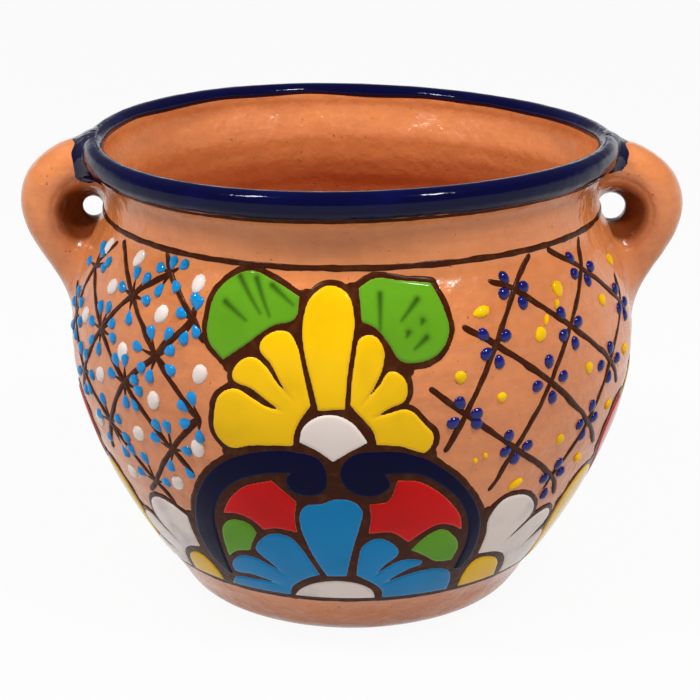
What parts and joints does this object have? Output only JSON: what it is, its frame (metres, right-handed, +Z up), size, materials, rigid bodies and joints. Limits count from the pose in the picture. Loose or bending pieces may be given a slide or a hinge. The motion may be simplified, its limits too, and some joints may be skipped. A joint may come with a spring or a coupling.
{
  "type": "clay urn planter",
  "caption": "Round-bellied glazed clay planter with a rolled cobalt lip, ear handles, a drain hole and raised enamel flowers in a traditional folk pattern.",
  "frame": {"origin": "centre of the flat base, on the surface the planter stands on", "axes": "+Z up along the turning axis, +X through the right handle, the main painted face towards -Y"},
  "size_m": [0.3288, 0.283, 0.233],
  "materials": {
    "glazed_terracotta": "clear gloss glaze over orange clay",
    "cobalt_glaze": "gloss",
    "cobalt_enamel": "gloss, raised",
    "yellow_enamel": "gloss, raised",
    "white_enamel": "gloss, raised",
    "red_enamel": "gloss, raised",
    "green_enamel": "gloss, raised",
    "blue_enamel": "gloss, raised",
    "brown_slip": "gloss, trailed lines"
  },
  "bodies": {
    "root": {"vessel": "glazed_terracotta", "rim_glaze": "cobalt_glaze", "handle_left": "glazed_terracotta", "handle_right": "glazed_terracotta", "leaf_left_front": "green_enamel", "leaf_right_front": "green_enamel", "yellow_middle_front": "yellow_enamel", "yellow_left_front": "yellow_enamel", "yellow_right_front": "yellow_enamel", "eye_upper_front": "white_enamel", "scroll_left_front": "cobalt_enamel", "scroll_right_front": "cobalt_enamel", "red_left_front": "red_enamel", "red_right_front": "red_enamel", "bud_left_front": "green_enamel", "bud_right_front": "green_enamel", "blue_middle_front": "blue_enamel", "blue_left_front": "blue_enamel", "blue_right_front": "blue_enamel", "eye_lower_front": "white_enamel", "daisy_left_front": "white_enamel", "daisy_left_eye_front": "yellow_enamel", "daisy_right_front": "white_enamel", "daisy_right_eye_front": "yellow_enamel", "leaf_left_back": "green_enamel", "leaf_right_back": "green_enamel", "yellow_middle_back": "yellow_enamel", "yellow_left_back": "yellow_enamel", "yellow_right_back": "yellow_enamel", "eye_upper_back": "white_enamel", "scroll_left_back": "cobalt_enamel", "scroll_right_back": "cobalt_enamel", "red_left_back": "red_enamel", "red_right_back": "red_enamel", "bud_left_back": "green_enamel", "bud_right_back": "green_enamel", "blue_middle_back": "blue_enamel", "blue_left_back": "blue_enamel", "blue_right_back": "blue_enamel", "eye_lower_back": "white_enamel", "daisy_left_back": "white_enamel", "daisy_left_eye_back": "yellow_enamel", "daisy_right_back": "white_enamel", "daisy_right_eye_back": "yellow_enamel", "side_middle_left": "yellow_enamel", "side_eye_left": "white_enamel", "side_low_a_left": "yellow_enamel", "side_low_b_left": "yellow_enamel", "side_high_a_left": "red_enamel", "side_high_b_left": "red_enamel", "side_middle_right": "yellow_enamel", "side_eye_right": "white_enamel", "side_low_a_right": "yellow_enamel", "side_low_b_right": "yellow_enamel", "side_high_a_right": "red_enamel", "side_high_b_right": "red_enamel"}
  },
  "joints": []
}
